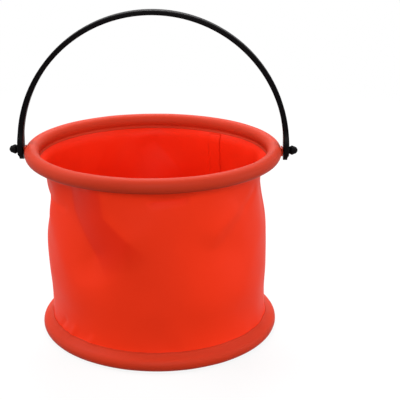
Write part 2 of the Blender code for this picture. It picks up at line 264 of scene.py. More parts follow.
def start_finish(name, roughness, specular):
    """A material with its Principled shader set to values that are the same all over."""
    made = bpy.data.materials.new(name)
    made.use_nodes = True
    shader = made.node_tree.nodes["Principled BSDF"]
    shader.inputs["Metallic"].default_value = 0
    shader.inputs["Roughness"].default_value = roughness
    shader.inputs["Specular IOR Level"].default_value = specular
    return made, made.node_tree, shader


def uneven_gloss(tree, shader, mask, gloss, spread):
    """Lets a noise mask move the roughness up and down about its usual value."""
    level = add_node(tree, "ShaderNodeMapRange", {
        "From Min": NOISE_LOW, "From Max": NOISE_HIGH, "To Min": gloss - spread, "To Max": gloss + spread,
    })
    tree.links.new(mask, level.inputs["Value"])
    tree.links.new(level.outputs["Result"], shader.inputs["Roughness"])


def cloth_finish(name, colour, gloss, specular, yarns, depth, drift, seed):
    made, tree, shader = start_finish(name, gloss, specular)
    link = tree.links.new
    flat = add_node(tree, "ShaderNodeUVMap", uv_map="cloth")
    basket = place_group(tree, weave, {"Yarns per metre": yarns})
    link(flat.outputs["UV"], basket.inputs["UV"])
    grain = add_node(tree, "ShaderNodeBump", {"Strength": 1.0, "Distance": depth})
    link(basket.outputs["Height"], grain.inputs["Height"])
    link(grain.outputs["Normal"], shader.inputs["Normal"])
    # painted shade: the mesh's attribute darkens the colour towards a shaded copy of it
    painted_shade = add_node(tree, "ShaderNodeAttribute", attribute_name="painted_shade")
    deep = [part * share for part, share in zip(colour, PAINTED_SHADE_SHARES)]
    values = {"Color": linear(colour), "Shaded Color": linear(deep), "Drift": drift, "Seed": seed}
    shade = place_group(tree, tone, values)
    link(painted_shade.outputs["Fac"], shade.inputs["Painted Shade"])
    link(shade.outputs["Color"], shader.inputs["Base Color"])
    uneven_gloss(tree, shader, shade.outputs["Mask"], gloss, CLOTH_GLOSS_SPREAD)
    return made


def plastic_finish(name, colour, gloss, specular, grain_scale, depth):
    made, tree, shader = start_finish(name, gloss, specular)
    link = tree.links.new
    values = {"Color": linear(colour), "Scale": PLASTIC_CLOUD_SCALE, "Drift": PLASTIC_DRIFT}
    shade = place_group(tree, tone, values)
    link(shade.outputs["Color"], shader.inputs["Base Color"])
    uneven_gloss(tree, shader, shade.outputs["Mask"], gloss, PLASTIC_GLOSS_SPREAD)
    place = add_node(tree, "ShaderNodeTexCoord")
    grain = add_node(tree, "ShaderNodeTexNoise", {"Scale": grain_scale, "Detail": 2.0})
    link(place.outputs["Object"], grain.inputs["Vector"])
    bump = add_node(tree, "ShaderNodeBump", {"Strength": 1.0, "Distance": depth})
    link(grain.outputs["Fac"], bump.inputs["Height"])
    link(bump.outputs["Normal"], shader.inputs["Normal"])
    return made


# name, colour, gloss, specular level, yarns per metre, depth of the weave, drift and its seed
wall_cloth = cloth_finish("coated wall cloth", WALL_COLOUR, 0.50, 0.08, 1800, 0.00002, 0.05, (0.2, 0.1, 0.4))
hem_cloth = cloth_finish("dull hem cloth", HEM_COLOUR, 0.55, 0.10, 1500, 0.00004, 0.08, (0.7, 0.3, 0.1))
# the base hem's finish, painted a shade paler: painted light
base_hem_painted_light_cloth = cloth_finish(
    "paler painted light hem cloth", BASE_HEM_PAINTED_LIGHT_COLOUR, 0.55, 0.10, 1500, 0.00004, 0.10, (0.3, 0.6, 0.2)
)
# name, colour, gloss, specular level, scale and depth of the grain
bail_plastic = plastic_finish("dark moulded plastic", BAIL_COLOUR, 0.42, 0.04, 1400, 0.00003)
tube_plastic = plastic_finish("pale tube plastic", TUBE_COLOUR, 0.50, 0.40, 900, 0.00001)
print("finishes:", ", ".join(m.name for m in bpy.data.materials if m.use_nodes))

# %% [markdown]
# ## Helpers for pieces
#
# Each new piece is a bmesh that becomes an object at the origin, smooth shaded, riding on one body
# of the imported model. Cloth pieces also get a UV map in metres: a place on the cloth laid flat. On
# something round, the last face of a turn would stretch right back across the map, so every corner
# is placed on the same side as the middle of its own face.

# %% Piece helpers


def make_piece(name, bm, finish, body, node):
    """Turns a bmesh into a piece with its finish and its body, in place of a CAD node."""
    mesh = bpy.data.meshes.new(name)
    bm.to_mesh(mesh)
    bm.free()
    mesh.materials.append(finish)
    mesh.shade_smooth()
    piece = bpy.data.objects.new(name, mesh)
    bpy.context.scene.collection.objects.link(piece)
    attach(piece, body)
    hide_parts(node)
    return piece


def settle(piece):
    """Makes what a piece's modifiers show its own mesh, with its UV map and attributes."""
    bpy.context.view_layer.update()
    graph = bpy.context.evaluated_depsgraph_get()
    final = bpy.data.meshes.new_from_object(
        piece.evaluated_get(graph), preserve_all_data_layers=True, depsgraph=graph
    )
    piece.modifiers.clear()
    piece.data = final


def thicken(piece, thickness):
    """Gives a surface its thickness, half of it on each side."""
    shell = piece.modifiers.new("cloth", "SOLIDIFY")
    shell.thickness = thickness
    shell.offset = 0
    shell.use_even_offset = True
    settle(piece)


def cut(piece, *cutters):
    """Takes other meshes out of a piece, and removes them."""
    for cutter in cutters:
        boolean = piece.modifiers.new(cutter.name, "BOOLEAN")
        boolean.operation = "DIFFERENCE"
        boolean.object = cutter
    settle(piece)
    for cutter in cutters:
        bpy.data.objects.remove(cutter, do_unlink=True)


def loose_object(name, bm):
    """A bmesh as a plain object, for a cutter or the floor."""
    mesh = bpy.data.meshes.new(name)
    bm.to_mesh(mesh)
    bm.free()
    made = bpy.data.objects.new(name, mesh)
    bpy.context.scene.collection.objects.link(made)
    return made


def lay_flat(bm, flat, turns):
    """Gives each face corner its place on the flat cloth; turns are the lengths of a full turn."""
    layer = bm.loops.layers.uv.new("cloth")
    for face in bm.faces:
        middle = flat(face.calc_center_median())
        for loop in face.loops:
            spot = flat(loop.vert.co)
            loop[layer].uv = [
                m + (s - m + t / 2) % t - t / 2 if t else s for s, m, t in zip(spot, middle, turns)
            ]


def report(piece):
    triangles = sum(len(face.vertices) - 2 for face in piece.data.polygons)
    print(f"{piece.name}: {triangles} triangles")
    return piece


# %% [markdown]
# ## The sizes that the cloth is cut and hung by
#
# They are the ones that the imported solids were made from. The wall leaves each hem through a slit,
# and close to the slit it runs in the slit's direction before it bends into the wall. The whole wall
# leans a few millimetres, as a soft wall does.

# %% Sizes
GAP = 0.00035
CLOTH = 0.0005
TUBE_RADIUS = 0.0047
RIM_HOOP_RADIUS = 0.0944
BASE_HOOP_RADIUS = 0.0892
RIM_HEIGHT = 0.1461
RIM_SLIT_ANGLE = math.radians(235)
BASE_SLIT_ANGLE = math.radians(113)
BASE_OFFSET = 0.0040
WALL_LOW_RADIUS = 0.0856
WALL_HIGH_RADIUS = 0.0866
WALL_BELLY = 0.0010
HEM_RADIUS = TUBE_RADIUS + GAP + CLOTH
HEM_MIDDLE = HEM_RADIUS - CLOTH / 2


def slit_point(hoop_radius, angle):
    """Distance from the axis, and height over the hoop's centre, of the wall's end inside a slit."""
    reach = TUBE_RADIUS + GAP
    return hoop_radius + reach * math.cos(angle), reach * math.sin(angle)


FOOT_RADIUS, FOOT_RISE = slit_point(BASE_HOOP_RADIUS, BASE_SLIT_ANGLE)
HEAD_RADIUS, HEAD_RISE = slit_point(RIM_HOOP_RADIUS, RIM_SLIT_ANGLE)
FOOT_HEIGHT = HEM_RADIUS + FOOT_RISE
HEAD_HEIGHT = RIM_HEIGHT + HEAD_RISE
WALL_HEIGHT = HEAD_HEIGHT - FOOT_HEIGHT
FOOT_FLARE = FOOT_RADIUS - WALL_LOW_RADIUS
HEAD_FLARE = HEAD_RADIUS - WALL_HIGH_RADIUS
FOOT_CURVE = abs(FOOT_FLARE * math.tan(BASE_SLIT_ANGLE))
HEAD_CURVE = abs(HEAD_FLARE * math.tan(RIM_SLIT_ANGLE))
HEAD_BEND = 0.006


def wall_radius(share):
    """The wall's own radius at a share of its height, before any fold."""
    straight = WALL_LOW_RADIUS + (WALL_HIGH_RADIUS - WALL_LOW_RADIUS) * share
    belly = WALL_BELLY * np.sin(np.pi * share)
    foot = FOOT_FLARE * np.exp(-share * WALL_HEIGHT / FOOT_CURVE)
    below = (1 - share) * WALL_HEIGHT
    head = HEAD_FLARE * np.exp(-below / HEAD_CURVE - (below / HEAD_BEND) ** 2)
    return straight + belly + foot + head


print("wall from", round(FOOT_HEIGHT, 5), "to", round(HEAD_HEIGHT, 5))

# %% [markdown]
# ## How the wall folds
#
# A soft wall never hangs as a plain tube. It makes broad dents, and where two dents meet it makes a
# crease with a flat panel on each side. Both are described on the cloth laid flat: a line from one
# angle and share of the height to another, and how far its effect reaches. Each row of the first
# table is a broad dent in the shape of a bell, with its width and depth as shares of the usual ones.

# %% Broad folds
FOLD_WIDTH = 0.0140
FOLD_DEPTH = 0.0040
FOLD_EASE = 0.7
# start angle and share, end angle and share, then width and depth as shares of the usual ones
fold_shares = (
    (172, 0.70, 188, 0.70, 0.9, 0.80),
    (-178, 0.75, -166, 0.73, 0.60, 1.25),
    (-178, 0.90, -160, 0.88, 0.9, 1.40),
    (-178, 0.80, -162, 0.79, 0.40, 0.70),
    (-178, 0.62, -160, 0.60, 1.0, 0.20),
    (166, 0.10, -164, 0.14, 1.2, 0.40),
    (-8, 0.81, 10, 0.83, 1.2, 0.90),
    (-12, 0.90, 8, 0.91, 0.8, 1.30),
    (-120, 0.44, -100, 0.36, 1.4, 0.35),
    (-62, 0.62, -48, 0.58, 1.2, 0.45),
    (-80, 0.20, -40, 0.30, 1.8, -0.30),
    (20, 0.35, 36, 0.68, 1.1, 0.60),
    (84, 0.72, 104, 0.40, 1.1, 0.70),
    (118, 0.30, 140, 0.60, 1.3, -0.30),
    (150, 0.66, 158, 0.30, 1.0, 0.55),
)


def fold_place(angle, share, start, low, end, high):
    """How far aside of a line, before its start and past its end, each point of the cloth lies."""
    turn = (angle - np.radians(start + end) / 2 + np.pi) % (2 * np.pi) - np.pi
    x = turn * WALL_HIGH_RADIUS
    y = (share - (low + high) / 2) * WALL_HEIGHT
    along = np.array((np.radians(end - start) * WALL_HIGH_RADIUS, (high - low) * WALL_HEIGHT))
    reach = np.linalg.norm(along) / 2
    along = along / (2 * reach)
    walked = x * along[0] + y * along[1]
    return x * along[1] - y * along[0], np.maximum(-walked - reach, 0), np.maximum(walked - reach, 0)


def broad_folds(angle, share):
    depth = np.zeros_like(angle)
    for *line, width, deep in fold_shares:
        away = sum(distance**2 for distance in fold_place(angle, share, *line))
        depth += deep * np.exp(-away / (width * FOLD_WIDTH) ** 2)
    return FOLD_DEPTH * depth * np.sin(np.pi * np.clip(share, 0, 1)) ** FOLD_EASE


print("broad folds:", len(fold_shares))

# %% [markdown]
# A crease has straight flanks like a tent, which may be wider on one side, and fades out at its ends.
# The tip of the tent is rounded, because cloth with a coating never folds quite sharp. A crease may
# turn a corner, so each row starts with a chain of places. A depth below zero is a ridge that stands
# out. The last number tells on which side of the line painted shade is laid: 1 is the left of one who
# walks along it, seen from outside, and -1 the right. The long diagonal pair at the front left holds
# a panel between its two lines, as the photograph shows, and that panel takes painted shade; the
# ones at the back are of the same kind.

# %% Creases
# chain of (angle, share), left reach, right reach, depth, fades at start and end, painted shade side
creases = (
    (((-134.6, 0.92), (-133.2, 0.82), (-120.6, 0.58)), 0.032, 0.036, 0.0046, 0.016, 0.024, 1),
    (((-112.9, 0.93), (-112.2, 0.82), (-101, 0.70)), 0.034, 0.032, -0.0036, 0.016, 0.020, -1),
    (((-154, 0.815), (-141, 0.80)), 0.006, 0.004, 0.0007, 0.005, 0.005, 0),
    (((-57, 0.70), (-46, 0.81)), 0.014, 0.010, -0.0017, 0.014, 0.010, 0),
    (((-88, 0.925), (-73, 0.938)), 0.0035, 0.0060, 0.0012, 0.005, 0.004, -1),
    (((-37, 0.81), (-28, 0.88)), 0.006, 0.005, 0.0007, 0.005, 0.005, 0),
    (((-152, 0.01), (-146, 0.09)), 0.004, 0.004, 0.0009, 0.004, 0.004, 0),
    (((-141, 0.00), (-137, 0.07)), 0.004, 0.003, -0.0008, 0.004, 0.004, 0),
    (((-128, 0.00), (-124, 0.05)), 0.004, 0.004, -0.0006, 0.004, 0.004, 0),
    (((28, 0.86), (52, 0.52)), 0.016, 0.011, 0.0016, 0.012, 0.018, 0),
    (((70, 0.25), (96, 0.50), (110, 0.78)), 0.018, 0.022, 0.0022, 0.014, 0.018, 1),
    (((56, 0.40), (74, 0.66), (92, 0.90)), 0.020, 0.018, -0.0018, 0.014, 0.012, -1),
    (((120, 0.90), (134, 0.66)), 0.018, 0.014, 0.0016, 0.012, 0.018, 0),
    (((152, 0.28), (176, 0.55)), 0.014, 0.018, 0.0014, 0.012, 0.014, 0),
)
CREASE_ROUNDING = 0.04
CREASE_SPREAD = 0.02
PAINTED_SHADE_EDGE = 0.0024


def sharp_creases(angle, share):
    """The creases' depth, and from 0 to 1 how much painted shade lies beside them."""
    depth = np.zeros_like(angle)
    painted_shade = np.zeros_like(angle)
    for chain, left, right, deep, start_fade, end_fade, painted_shade_side in creases:
        away = np.full_like(angle, np.inf)
        leftward = np.zeros_like(angle)
        for (start, low), (end, high) in zip(chain, chain[1:]):
            aside, before, past = fold_place(angle, share, start, low, end, high)
            reach = np.where(aside < 0, left, right)
            before = before / (start_fade if (start, low) == chain[0] else reach)
            past = past / (end_fade if (end, high) == chain[-1] else reach)
            here = np.sqrt((aside / reach) ** 2 + before**2 + past**2 + CREASE_ROUNDING**2)
            leftward = np.where(here < away, -aside, leftward)
            away = np.minimum(here, away)
        tent = ((1 - away) + np.sqrt((1 - away) ** 2 + CREASE_SPREAD)) / 2
        depth += deep * tent
        # painted shade on one side of the crease, fading out with the tent
        if painted_shade_side:
            painted_shade += tent * np.clip(0.5 + painted_shade_side * leftward / PAINTED_SHADE_EDGE, 0, 1)
    return depth, np.clip(painted_shade, 0, 1)


print("creases:", len(creases), "and the deepest in mm:", 1000 * max(row[3] for row in creases))

# %% [markdown]
# Small things come last. Where the cloth is gathered into a weld it makes short upright puckers that
# die out within a finger's breadth, and all of it is slightly uneven. Close to the hems nothing may
# move, because the cloth is held there, so every fold is eased off towards both ends.

# %% Wall surface
GATHER_DEPTH = 0.0012
GATHER_REACH = 0.006
GATHER_LENGTH = 0.010
UNEVEN = 0.00035
UNEVEN_LENGTH = 0.022
FOOT_SEED, HEAD_SEED, UNEVEN_SEED = 3.0, 9.0, 5.0
HEM_REST = 0.0028


def cloth_noise(angle, height, length, seed):
    """Smooth noise that closes on itself round the wall, from about -0.6 to 0.6."""
    x, y = np.cos(angle) * WALL_HIGH_RADIUS, np.sin(angle) * WALL_HIGH_RADIUS
    places = np.stack((x, y, height), axis=-1).reshape(-1, 3) / length + seed
    return np.array([noise.noise(Vector(place)) for place in places]).reshape(angle.shape)


def wall_surface(angle, share, inward=0.0):
    """Places on the wall's middle surface, or inward of it, and how much painted shade lies there."""
    height = share * WALL_HEIGHT
    below_head = WALL_HEIGHT - height
    held = np.exp(-((height / HEM_REST) ** 2)) + np.exp(-((below_head / HEM_REST) ** 2))
    free = 1 - np.clip(held, 0, 1)
    sharp, painted_shade = sharp_creases(angle, share)
    level = np.zeros_like(height)
    gathers = cloth_noise(angle, level, GATHER_LENGTH, FOOT_SEED) * np.exp(-height / GATHER_REACH)
    gathers += cloth_noise(angle, level, GATHER_LENGTH, HEAD_SEED) * np.exp(-below_head / GATHER_REACH)
    uneven = UNEVEN * cloth_noise(angle, height, UNEVEN_LENGTH, UNEVEN_SEED)
    inset = broad_folds(angle, share) + (sharp + GATHER_DEPTH * gathers + uneven) * free
    radius = wall_radius(share) - inset - inward
    offset = BASE_OFFSET * (1 - share)
    places = (offset + radius * np.cos(angle), radius * np.sin(angle), FOOT_HEIGHT + height)
    return np.stack(places, axis=-1), painted_shade


turns = np.radians(np.arange(0, 360, 5))
places, _ = wall_surface(turns, np.full_like(turns, 0.7))
print("mm across at seven tenths of the height:", np.round(1000 * np.ptp(places[:, :2], axis=0), 1))

# %% [markdown]
# ## The sleeves round the hoops
#
# Each hem is a strip of cloth wrapped round its hoop and welded to the wall, so its section is a
# circle with two short lips that lie along the wall. One section is drawn as a line and spun a full
# turn. A number on each point of the line tells how far along the wall a lip has got there; the spin
# copies it, and afterwards the lips are laid onto the wall, folds and all. Cloth that is bent round a
# hoop has too much length on the inner side, so it puckers there and stays smooth outside.

# %% Hem section
SLEEVE_STEPS = 288
SECTION_STEPS = 40
LIP_STEPS = 4
LIP_CLEARANCE = CLOTH + 0.00004


def sleeve_section(hoop_radius, slit_angle, lips, opening):
    """The sleeve's section as (radius, height, place along the wall, side of the wall)."""
    half = math.asin((CLOTH / 2 + GAP + CLOTH / 2) / HEM_MIDDLE)
    turn = 2 * (math.pi - half) - opening
    outward = 1 if math.sin(slit_angle) > 0 else -1
    start = slit_angle - half - (opening if outward > 0 else 0)
    arc = []
    for step in range(SECTION_STEPS + 1):
        angle = start - turn * step / SECTION_STEPS
        arc.append((hoop_radius + HEM_MIDDLE * math.cos(angle), HEM_MIDDLE * math.sin(angle), 0, 0))
    end_radius, end_height = slit_point(hoop_radius, slit_angle)
    upward = 1 if end_height > 0 else -1
    ends = []
    for side in (outward, -outward):
        first, last = lips[side]
        places = [first + (last - first) * step / LIP_STEPS for step in range(LIP_STEPS + 1)]
        ends.append([(end_radius, end_height + upward * place, place, side) for place in places])
    return ends[0][::-1] + arc + ends[1]


print("places in a hem's section:", SECTION_STEPS + 1 + 2 * (LIP_STEPS + 1))

# %% Hem sleeves
PUCKER_LENGTH = 0.0035
PUCKER_DEPTH = 0.00010
SOFTNESS_LENGTH = 0.02
SOFTNESS = 0.00012


def spin_round(bm, axis, steps):
    """Spins everything a full turn about an axis through the origin, and closes it."""
    bmesh.ops.spin(
        bm, geom=bm.verts[:] + bm.edges[:], cent=(0, 0, 0), axis=axis, dvec=(0, 0, 0),
        angle=2 * math.pi, steps=steps, use_merge=True, use_duplicate=False,
    )


def make_sleeve(name, node, finish, body, hoop_radius, slit_angle, lips, opening, centre, foot):
    """A hem sleeve; opening is the angle that its cloth leaves free on one side of the slit."""
    bm = bmesh.new()
    along = bm.verts.layers.float.new("along")
    facing = bm.verts.layers.float.new("facing")
    corners = []
    for radius, height, place, side in sleeve_section(hoop_radius, slit_angle, lips, opening):
        corners.append(bm.verts.new((radius, 0, height)))
        corners[-1][along], corners[-1][facing] = place, side
    width = sum(bm.edges.new(pair).calc_length() for pair in zip(corners, corners[1:]))
    spin_round(bm, (0, 0, 1), SLEEVE_STEPS)
    bmesh.ops.recalc_face_normals(bm, faces=bm.faces)

    def around(point):
        """Turn round the axis, and round the section, of a point."""
        away = math.hypot(point.x, point.y) - hoop_radius
        return math.atan2(point.y, point.x), math.atan2(point.z, away)

    def flat(point):
        turn, roll = around(point)
        return turn * hoop_radius, roll * HEM_RADIUS

    lay_flat(bm, flat, (2 * math.pi * hoop_radius, 2 * math.pi * HEM_RADIUS))
    lip_corners = [corner for corner in bm.verts if corner[facing]]
    turns = np.array([around(corner.co)[0] for corner in lip_corners])
    shares = np.array([corner[along] / WALL_HEIGHT for corner in lip_corners])
    sides = np.array([corner[facing] for corner in lip_corners])
    laid, _ = wall_surface(turns, shares if foot else 1 - shares, -sides * LIP_CLEARANCE)
    for corner in bm.verts:
        turn, roll = around(corner.co)
        middle = Vector((math.cos(turn), math.sin(turn), 0)) * hoop_radius
        inner = ((1 - math.cos(roll)) / 2) ** 2
        spot = Vector((turn * hoop_radius / PUCKER_LENGTH, math.sin(roll), 2 * math.cos(roll)))
        soft = noise.noise(corner.co / SOFTNESS_LENGTH)
        swell = PUCKER_DEPTH * inner * noise.noise(spot) + SOFTNESS * soft
        corner.co += (corner.co - middle).normalized() * swell
    bmesh.ops.translate(bm, verts=bm.verts, vec=centre)
    for corner, place in zip(lip_corners, laid):
        corner.co = place
    piece = make_piece(name, bm, finish, body, node)
    thicken(piece, CLOTH)
    return report(piece)


# where each lip meets the wall and where it ends, measured along the wall from its edge
rim_lips = {1: (0.0010, 0.0022), -1: (0.0010, 0.0018)}
base_lips = {1: (0.0021, 0.0033), -1: (0.0010, 0.0022)}
rim_opening, base_opening = math.radians(32), math.radians(50)
make_sleeve(
    "rim_sleeve", "rim_hem_sleeve", hem_cloth, "rim", RIM_HOOP_RADIUS, RIM_SLIT_ANGLE, rim_lips,
    rim_opening, (0, 0, RIM_HEIGHT), foot=False,
)
make_sleeve(
    "base_sleeve", "base_hem_sleeve", base_hem_painted_light_cloth, "base", BASE_HOOP_RADIUS, BASE_SLIT_ANGLE,
    base_lips, base_opening, (BASE_OFFSET, 0, HEM_RADIUS), foot=True,
)

# %% [markdown]
# ## The wall and its seam
#
# The wall starts as a flat grid that is laid out in metres for its UV map and then bent round. Its
# two edges meet and are merged. A cloth simulation could fold it, but it would choose its own places
# for the folds, so each corner of the grid is put where the functions above say. The seam is a narrow
# strip welded to the inner face, made by the same function on a part of the same cloth, so that it
# follows every fold. The inner face is darkened all over with painted shade.

# %% Wall and seam
WALL_STEPS, WALL_ROWS = 320, 112
SEAM_STEPS, SEAM_ROWS = 12, 84
SEAM_ANGLES = (math.radians(52.5), math.radians(60))
SEAM_SHARES = (0.020, 0.982)
SEAM_INSET = CLOTH + 0.0001
MERGE_DISTANCE = 0.000001


def make_cloth(name, node, angles, shares, steps, rows, inward):
    """A stretch of the wall between two angles and two shares of its height."""
    bm = bmesh.new()
    bmesh.ops.create_grid(bm, x_segments=steps, y_segments=rows, size=0.5)
    width = (angles[1] - angles[0]) * WALL_HIGH_RADIUS
    length = (shares[1] - shares[0]) * WALL_HEIGHT
    lay_flat(bm, lambda point: ((point.x + 0.5) * width, (point.y + 0.5) * length), (0, 0))
    grid = np.array([corner.co.xy for corner in bm.verts]) + 0.5
    angle = angles[0] + grid[:, 0] * (angles[1] - angles[0])
    share = shares[0] + grid[:, 1] * (shares[1] - shares[0])
    places, painted_shade = wall_surface(angle, share, inward)
    # how much painted shade each corner of the wall takes
    mark = bm.verts.layers.float.new("painted_shade")
    for corner, place, amount in zip(bm.verts, places, painted_shade):
        corner.co = place
        corner[mark] = amount
    bmesh.ops.remove_doubles(bm, verts=bm.verts, dist=MERGE_DISTANCE)
    bmesh.ops.recalc_face_normals(bm, faces=bm.faces)
    piece = make_piece(name, bm, wall_cloth, "base", node)
    thicken(piece, CLOTH)
    # painted shade: the inner face is darkened all over
    for corner, amount in zip(piece.data.vertices, piece.data.attributes["painted_shade"].data):
        if corner.normal.xy.dot(corner.co.xy) < 0:
            amount.value = 1
    print("flat cloth of", name, [round(width, 3), round(length, 3)])
    return report(piece)


wall = make_cloth("wall_cloth", "wall_panel", (0, 2 * math.pi), (0, 1), WALL_STEPS, WALL_ROWS, 0)
seam = make_cloth(
    "seam_tape", "wall_seam_tape", SEAM_ANGLES, SEAM_SHARES, SEAM_STEPS, SEAM_ROWS, SEAM_INSET
)

# %% [markdown]
# When the rim is pushed down, the real wall folds inwards in loose swirls. Here the wall and the
# seam only get meshes of their own, and nothing follows that motion.

# %% Wall and seam get meshes of their own
for piece in (wall, seam):
    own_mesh(piece)

# %% [markdown]
# ## The base
#
# The base is one round cloth panel that lies on the ground, with its edge under the curve of the
# base hem. Spinning a radius gives rings to shape: it stays flat underneath and swells a little
# inside, with fine radial puckers towards the hem, and its edge lies close against the hem.

# %% Base panel
BASE_THICKNESS = 0.0006
BASE_RINGS = 36
BASE_STEPS = 180
BASE_SWELL = 0.0004
BASE_CLOUD_LENGTH = 0.03
BASE_CLOUD_LIFT = 0.25
BASE_PUCKERS = 14
BASE_PUCKER_SHARE = 0.4
BASE_PUCKER_LIFT = 0.5
BASE_PUCKER_POWER = 6
BASE_EDGE_POWER = 24
BASE_EDGE_GAP = 0.00003


def draw_line(bm, places):
    """Adds corners, each joined to the next by an edge."""
    corners = [bm.verts.new(place) for place in places]
    for pair in zip(corners, corners[1:]):
        bm.edges.new(pair)


def make_base():
    tuck = math.sqrt(HEM_RADIUS**2 - (HEM_RADIUS - BASE_THICKNESS) ** 2)
    radius = BASE_HOOP_RADIUS - tuck - BASE_EDGE_GAP
    bm = bmesh.new()
    draw_line(bm, [(radius * i / BASE_RINGS, 0, 0) for i in range(BASE_RINGS + 1)])
    spin_round(bm, (0, 0, 1), BASE_STEPS)
    bmesh.ops.remove_doubles(bm, verts=bm.verts, dist=MERGE_DISTANCE)
    bmesh.ops.recalc_face_normals(bm, faces=bm.faces)
    lay_flat(bm, lambda point: (point.x, point.y), (0, 0))
    for corner in bm.verts:
        away = corner.co.length / radius
        turn = math.atan2(corner.co.y, corner.co.x)
        cloud = max(noise.noise(corner.co / BASE_CLOUD_LENGTH) + BASE_CLOUD_LIFT, 0)
        spot = Vector((math.cos(turn), math.sin(turn), 0)) * BASE_PUCKERS
        pucker = (noise.noise(spot) + BASE_PUCKER_LIFT) * away**BASE_PUCKER_POWER
        swell = BASE_SWELL * (cloud + BASE_PUCKER_SHARE * pucker) * (1 - away**BASE_EDGE_POWER)
        corner.co.z = BASE_THICKNESS / 2 + swell
    bmesh.ops.translate(bm, verts=bm.verts, vec=(BASE_OFFSET, 0, 0))
    piece = make_piece("base_cloth", bm, wall_cloth, "base", "base_panel")
    thicken(piece, BASE_THICKNESS)
    return report(piece)


make_base()

# %% [markdown]
# ## The bail
#
# The bail is one moulded strap, bent in a half circle, with a wider lug at each end that takes a
# stud. A curve with a bevel would give it one section all the way, so one section loop is extruded
# from station to station along the strap instead. Each station says how wide the strap is there, and
# how deep the shallow channel in its two sides is, which stops short of the lugs.

# %% Bail sizes
EAR_THICKNESS = 0.0008
EAR_FACE = RIM_HOOP_RADIUS + HEM_RADIUS + GAP + EAR_THICKNESS
LUG_FACE = EAR_FACE + GAP
STRAP_THICKNESS = 0.0043
CROWN_THICKNESS = 0.0037
STRAP_WIDTH = 0.0090
LUG_OUTSIDE = LUG_FACE + STRAP_THICKNESS
LUG_WIDTH = 0.0130
LUG_RISE = 0.0060
LUG_TAPER = 0.0080
LUG_DROP = 0.0078
TOE_THICKNESS = 0.0018
TOE_START = 0.0030
ARC_RISE = 0.0032
STEM_RADIUS = 0.0016
EYE_RADIUS = STEM_RADIUS + GAP
EDGE = 0.0007
EDGE_WIDTH_SHARE = 0.6
EDGE_THICKNESS_SHARE = 0.3
CHANNEL_HALF = 0.0008
CHANNEL_SLOPE = 0.0002
CHANNEL_DEPTH = 0.00025
CHANNEL_FADE = 0.004
CHANNEL_REACH_SHARE = 0.95
STRAP_MIDDLE = (LUG_FACE + LUG_OUTSIDE) / 2
print("bail height over its pivots in mm:", round(1000 * (ARC_RISE + LUG_OUTSIDE), 1))

# %% Stations along the bail
TOE_STEPS = (0.00002, 0.0002, 0.0006)
LEG_START = 0.0012
LEG_STEP = 0.0009
LEG_STATIONS = 11
ARC_STEPS = 96


def smooth(value):
    value = min(max(value, 0), 1)
    return value * value * (3 - 2 * value)


def half_width(height):
    """Half the bail's width, front to back, at a height over its pivots."""
    lug, strap = LUG_WIDTH / 2, STRAP_WIDTH / 2
    if height < lug - LUG_DROP:
        down = (lug - LUG_DROP - height) / lug
        return lug * math.sqrt(max(1 - down * down, 0))
    return lug + (strap - lug) * smooth((height - LUG_RISE) / LUG_TAPER)


def stations():
    """Centre, outward direction, inner and outer half thickness, half width and channel depth."""
    half = STRAP_THICKNESS / 2
    right = []
    for step in (*TOE_STEPS, *(LEG_START + LEG_STEP * i for i in range(LEG_STATIONS))):
        z = step - LUG_DROP
        toe = max((-z - TOE_START) / (LUG_DROP - TOE_START), 0)
        outer = half - (STRAP_THICKNESS - TOE_THICKNESS) * toe
        right.append((Vector((STRAP_MIDDLE, 0, z)), Vector((1, 0, 0)), half, outer, half_width(z), 0.0))
    arc = []
    for i in range(ARC_STEPS + 1):
        angle = math.pi * i / ARC_STEPS
        out = Vector((math.cos(angle), 0, math.sin(angle)))
        centre = Vector((0, 0, ARC_RISE)) + out * STRAP_MIDDLE
        inside = 1 / math.hypot(out.x / LUG_FACE, out.z / (LUG_OUTSIDE - CROWN_THICKNESS))
        deep = CHANNEL_DEPTH * smooth((centre.z - LUG_RISE - LUG_TAPER) / CHANNEL_FADE)
        arc.append((centre, out, STRAP_MIDDLE - inside, half, half_width(centre.z), deep))
    left = [
        (Vector((-centre.x, 0, centre.z)), -out, inner, outer, width, deep)
        for centre, out, inner, outer, width, deep in reversed(right)
    ]
    return right + arc + left


print("stations along the bail:", len(stations()))

# %% Bail
ROUND_STEPS = 48
SHARP_ANGLE = math.radians(40)


def strap_section(inner, outer, width, deep):
    """A loop of (outward, front to back) places: a rounded oblong with a channel in its two sides."""
    edge = min(EDGE, width * EDGE_WIDTH_SHARE, (inner + outer) * EDGE_THICKNESS_SHARE)
    loop = []
    for out_sign, wide_sign, first in ((1, 1, 0), (-1, 1, 90), (-1, -1, 180), (1, -1, 270)):
        limit = outer if out_sign > 0 else inner
        for step in range(4):
            angle = math.radians(first + 30 * step)
            loop.append((
                out_sign * (limit - edge) + edge * math.cos(angle),
                wide_sign * (width - edge) + edge * math.sin(angle),
            ))
        if first in (0, 180):
            slope = CHANNEL_HALF + CHANNEL_SLOPE
            lowest, highest = -(inner - edge) * CHANNEL_REACH_SHARE, (outer - edge) * CHANNEL_REACH_SHARE
            for place in (slope, CHANNEL_HALF, -CHANNEL_HALF, -slope):
                place = min(max(place, lowest), highest)
                depth = deep if abs(place) <= CHANNEL_HALF else 0
                loop.append((out_sign * place, wide_sign * (width - depth)))
    return loop


def grown_from(corner, fresh):
    """The new corner that an extrusion has joined to an old one."""
    others = (edge.other_vert(corner) for edge in corner.link_edges)
    return next(other for other in others if other in fresh)


